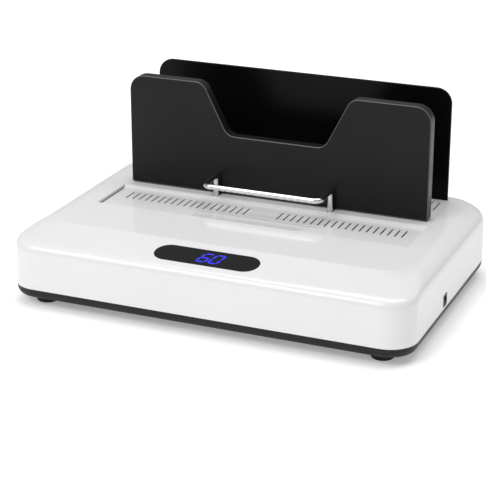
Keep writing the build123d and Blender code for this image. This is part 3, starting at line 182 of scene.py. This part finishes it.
def painted_edge_highlight(name, base, highlight_colour, rough, specular):
    """Dark moulding with a painted highlight: its rounded edges are painted paler than its flat faces, in
    place of light caught on them.
    """
    material = moulded(name, base, rough, 0.06, 0.12, 1400, 0.000012, specular)
    tree = material.node_tree
    shader = tree.nodes["Principled BSDF"]
    plain = shader.inputs["Base Color"].links[0].from_socket
    coords = tree.nodes.new("ShaderNodeTexCoord")
    parts = tree.nodes.new("ShaderNodeSeparateXYZ")
    tree.links.new(coords.outputs["Normal"], parts.inputs["Vector"])
    facing = tree.nodes.new("ShaderNodeMath")
    facing.operation = "ABSOLUTE"
    tree.links.new(parts.outputs["Y"], facing.inputs[0])
    # painted highlight: white where the surface leans between the plate's face and its edge, black on both of
    # them, so the rounded edges get a paler colour standing in for light caught there
    ramp = tree.nodes.new("ShaderNodeValToRGB")
    stops = ramp.color_ramp.elements
    stops[0].position, stops[0].color = 0.30, (0, 0, 0, 1)
    stops[1].position, stops[1].color = 0.97, (0, 0, 0, 1)
    for place in (0.5, 0.85):
        stops.new(place).color = (1, 1, 1, 1)
    tree.links.new(facing.outputs[0], ramp.inputs["Fac"])
    mix = tree.nodes.new("ShaderNodeMix")
    mix.data_type = "RGBA"
    tree.links.new(ramp.outputs["Color"], mix.inputs["Factor"])
    tree.links.new(plain, mix.inputs["A"])
    mix.inputs["B"].default_value = (*highlight_colour, 1)
    tree.links.new(mix.outputs["Result"], shader.inputs["Base Color"])
    return material


def metal(name, base, rough, swing, stretch, scale, depth):
    """Metal with brushed or mottled gloss."""
    material, tree, shader = principled(name, base, rough, metallic=1.0)
    streak = noise(tree, scale, 6, stretch)
    dark = tuple(value * STREAK_SHADE for value in base)
    tree.links.new(tint(tree, streak, dark, base), shader.inputs["Base Color"])
    tree.links.new(spread(tree, streak, rough - swing / 2, rough + swing / 2), shader.inputs["Roughness"])
    bump(tree, shader, streak, STREAK_STRENGTH, depth)
    return material


def woven(name, base, pitch):
    """Glass-fibre cloth: two crossing sets of threads."""
    material, tree, shader = principled(name, base, 0.85, sheen=0.3)
    coords = tree.nodes.new("ShaderNodeTexCoord")
    waves = []
    for direction in ("X", "Y"):
        wave = tree.nodes.new("ShaderNodeTexWave")
        wave.bands_direction = direction
        wave.inputs["Scale"].default_value = 1 / (pitch * WAVE_TURN)
        wave.inputs["Distortion"].default_value = 0.6
        tree.links.new(coords.outputs["Object"], wave.inputs["Vector"])
        waves.append(wave.outputs["Fac"])
    join = tree.nodes.new("ShaderNodeMath")
    join.operation = "MULTIPLY"
    tree.links.new(waves[0], join.inputs[0])
    tree.links.new(waves[1], join.inputs[1])
    dark = tuple(value * THREAD_SHADE for value in base)
    tree.links.new(tint(tree, join.outputs[0], dark, base, 0.0, 0.6), shader.inputs["Base Color"])
    bump(tree, shader, join.outputs[0], 0.6, 0.0002)
    return material


def circuit_board(name):
    """Solder mask with copper tracks showing through."""
    material, tree, shader = principled(name, (0.02, 0.16, 0.06), 0.35)
    coords = tree.nodes.new("ShaderNodeTexCoord")
    cells = tree.nodes.new("ShaderNodeTexVoronoi")
    cells.feature = "DISTANCE_TO_EDGE"
    cells.distance = "MANHATTAN"
    cells.inputs["Scale"].default_value = BOARD_CELLS
    tree.links.new(coords.outputs["Object"], cells.inputs["Vector"])
    tracks = tint(tree, cells.outputs["Distance"], (0.05, 0.30, 0.10), (0.015, 0.13, 0.05), 0.04, 0.08)
    tree.links.new(tracks, shader.inputs["Base Color"])
    bump(tree, shader, cells.outputs["Distance"], 0.3, 0.00005)
    return material


def glowing(name, colour, strength):
    """Lit segment with a faintly uneven glow."""
    material, tree, shader = principled(name, (0.01, 0.01, 0.02), 0.4)
    shader.inputs["Emission Color"].default_value = (*colour, 1)
    shader.inputs["Emission Strength"].default_value = strength
    cells = noise(tree, GLOW_CELLS, 2)
    low = tuple(value * GLOW_SHADE for value in colour)
    tree.links.new(tint(tree, cells, low, colour), shader.inputs["Emission Color"])
    return material


# one material for each slot of the record
SLOT_MATERIALS = {
    "shell_white": moulded("shell_white", (0.80, 0.80, 0.81), 0.12, 0.03, 0.01, 1100, 0.000003),
    "panel_white": moulded("panel_white", (0.74, 0.74, 0.75), 0.14, 0.03, 0.015, 900, 0.000004),
    "plate_coating_white": moulded("plate_coating_white", (0.76, 0.76, 0.77), 0.34, 0.08, 0.03, 700, 0.00001),
    "base_black": moulded("base_black", (0.010, 0.010, 0.011), 0.45, 0.10, 0.15, 1300, 0.00004, 0.25),
    "frame_black": moulded("frame_black", (0.010, 0.010, 0.011), 0.50, 0.10, 0.15, 1300, 0.00003, 0.3),
    "foot_rubber": moulded("foot_rubber", (0.016, 0.016, 0.016), 0.75, 0.10, 0.25, 900, 0.00006, 0.3),
    # guide plates: dark moulding with a painted highlight along their rounded edges
    "guide_black": painted_edge_highlight("guide_black", (0.008, 0.008, 0.009), (0.13, 0.13, 0.135), 0.34, 0.2),
    "rear_black": moulded("rear_black", (0.0025, 0.0025, 0.003), 0.32, 0.06, 0.12, 1400, 0.000012, 0.12),
    "lens_black": moulded("lens_black", (0.004, 0.004, 0.005), 0.05, 0.02, 0.10, 900, 0.000001, 0.3),
    "switch_black": moulded("switch_black", (0.006, 0.006, 0.006), 0.42, 0.10, 0.15, 1300, 0.00002, 0.25),
    "pad_nylon": moulded("pad_nylon", (0.02, 0.02, 0.02), 0.50, 0.10, 0.20, 900, 0.00002, 0.4),
    "block_nylon": moulded("block_nylon", (0.62, 0.60, 0.55), 0.48, 0.10, 0.05, 700, 0.00002),
    "handle_chrome": metal("handle_chrome", (0.82, 0.83, 0.85), 0.07, 0.05, (1, 1, 1), 260, 0.000001),
    "zinc_steel": metal("zinc_steel", (0.58, 0.58, 0.56), 0.36, 0.16, (1, 1, 1), 180, 0.00001),
    "ground_steel": metal("ground_steel", (0.62, 0.62, 0.63), 0.22, 0.10, (6, 1, 6), 220, 0.000004),
    "bare_aluminium": metal("bare_aluminium", (0.70, 0.71, 0.72), 0.38, 0.12, (1, 14, 1), 160, 0.00001),
    "insulation_fibre": woven("insulation_fibre", (0.72, 0.70, 0.62), 0.0012),
    "ceramic_white": moulded("ceramic_white", (0.78, 0.76, 0.70), 0.30, 0.08, 0.04, 500, 0.00003),
    "board_green": circuit_board("board_green"),
    "part_black": moulded("part_black", (0.015, 0.015, 0.016), 0.40, 0.10, 0.2, 900, 0.00002),
    "part_blue": moulded("part_blue", (0.03, 0.07, 0.25), 0.40, 0.10, 0.1, 900, 0.00002),
    "core_steel": metal("core_steel", (0.20, 0.20, 0.21), 0.45, 0.10, (1, 1, 12), 200, 0.00003),
    "pin_brass": metal("pin_brass", (0.72, 0.60, 0.32), 0.25, 0.10, (1, 8, 1), 200, 0.000005),
}


def dress_nodes():
    """Give every piece of the frame the material of its slot."""
    slots = {entry["node"]: entry["material_slot"] for entry in record["subparts"]}
    for name, node in frame["nodes"].items():
        material = SLOT_MATERIALS[slots[name]]
        if not node.material_slots:
            node.data.materials.append(material)
        for place in node.material_slots:
            place.material = material


# ---------------------------------------------------------------- display digits
FACET_SLOPE = 9.0
LENS_PLACE = (-0.0031, -0.1106, 0.0676)
LENS_RECESS = 0.00015
DIGIT_HEIGHT = 0.0150
DIGIT_WIDTH = 0.0085
DIGIT_STROKE = 0.0021
DIGIT_LEAN = 0.30
DIGIT_PROUD = 0.00002
DIGIT_PLACES = {"digit_left": ("6", -0.0016), "digit_right": ("0", 0.0104)}
DIGIT_BLUE = (0.016, 0.020, 0.85)
DIGIT_POWER = 1.3
SEGMENT_GAP = 0.18              # share of the stroke left open at a segment's ends
SEGMENTS = {"0": "abcdef", "6": "acdefg"}


def segment_bars(width, height, stroke):
    """Middle line of each of a digit's seven segments, and the gap at their ends."""
    half, gap = height / 2, stroke * SEGMENT_GAP
    right, left = width / 2, -width / 2
    return {
        "a": ((left, half), (right, half)),
        "b": ((right, half), (right, 0)),
        "c": ((right, 0), (right, -half)),
        "d": ((left, -half), (right, -half)),
        "e": ((left, 0), (left, -half)),
        "f": ((left, half), (left, 0)),
        "g": ((left, 0), (right, 0)),
    }, gap


def add_digit(name, figure, centre_x):
    """One lit digit as thin six-sided segments lying on the lens."""
    bars, gap = segment_bars(DIGIT_WIDTH, DIGIT_HEIGHT, DIGIT_STROKE)
    slope = radians(FACET_SLOPE)
    along = Vector((0, cos(slope), sin(slope)))
    normal = Vector((0, -sin(slope), cos(slope)))
    origin = Vector(LENS_PLACE) - normal * (LENS_RECESS - DIGIT_PROUD)
    points, faces = [], []
    for key in SEGMENTS[figure]:
        start, end = (Vector((*place, 0)) for place in bars[key])
        run = (end - start).normalized()
        side = Vector((-run.y, run.x, 0)) * DIGIT_STROKE / 2
        inner_start = start + run * (gap + DIGIT_STROKE / 2)
        inner_end = end - run * (gap + DIGIT_STROKE / 2)
        corners = [start + run * gap, inner_start + side, inner_end + side,
                   end - run * gap, inner_end - side, inner_start - side]
        first = len(points)
        for corner in corners:
            x = centre_x + corner.x + DIGIT_LEAN * corner.y
            points.append(origin + Vector((x, 0, 0)) + along * corner.y)
        faces.append([first + index for index in range(6)][::-1])
    digit = mesh_object(name, points, faces)
    digit.data.materials.append(glowing(name, DIGIT_BLUE, DIGIT_POWER))
    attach(digit, "machine")


def add_floor():
    """Plain pale floor, partly lit from itself so that shadows on it stay faint."""
    corners = [(-FLOOR_HALF, -FLOOR_HALF, 0), (FLOOR_HALF, -FLOOR_HALF, 0), (FLOOR_HALF, FLOOR_HALF, 0),
               (-FLOOR_HALF, FLOOR_HALF, 0)]
    floor = mesh_object("floor", corners, [[0, 1, 2, 3]])
    material = moulded("floor", FLOOR_WHITE, 0.9, 0.02, 0.005, 40, 0.00001, 0.1)
    shader = material.node_tree.nodes["Principled BSDF"]
    shader.inputs["Emission Color"].default_value = (1, 1, 1, 1)
    shader.inputs["Emission Strength"].default_value = FLOOR_GLOW
    floor.data.materials.append(material)


# ---------------------------------------------------------------- build the scene
add_camera()
add_world(WORLD_LEVEL)
add_area("key", KEY_PLACE, KEY_TARGET, KEY_SIZE, KEY_POWER)
add_area("top", TOP_PLACE, TOP_TARGET, TOP_SIZE, TOP_POWER)
add_floor()
dress_nodes()
for digit_name, (figure, centre) in DIGIT_PLACES.items():
    add_digit(digit_name, figure, centre)
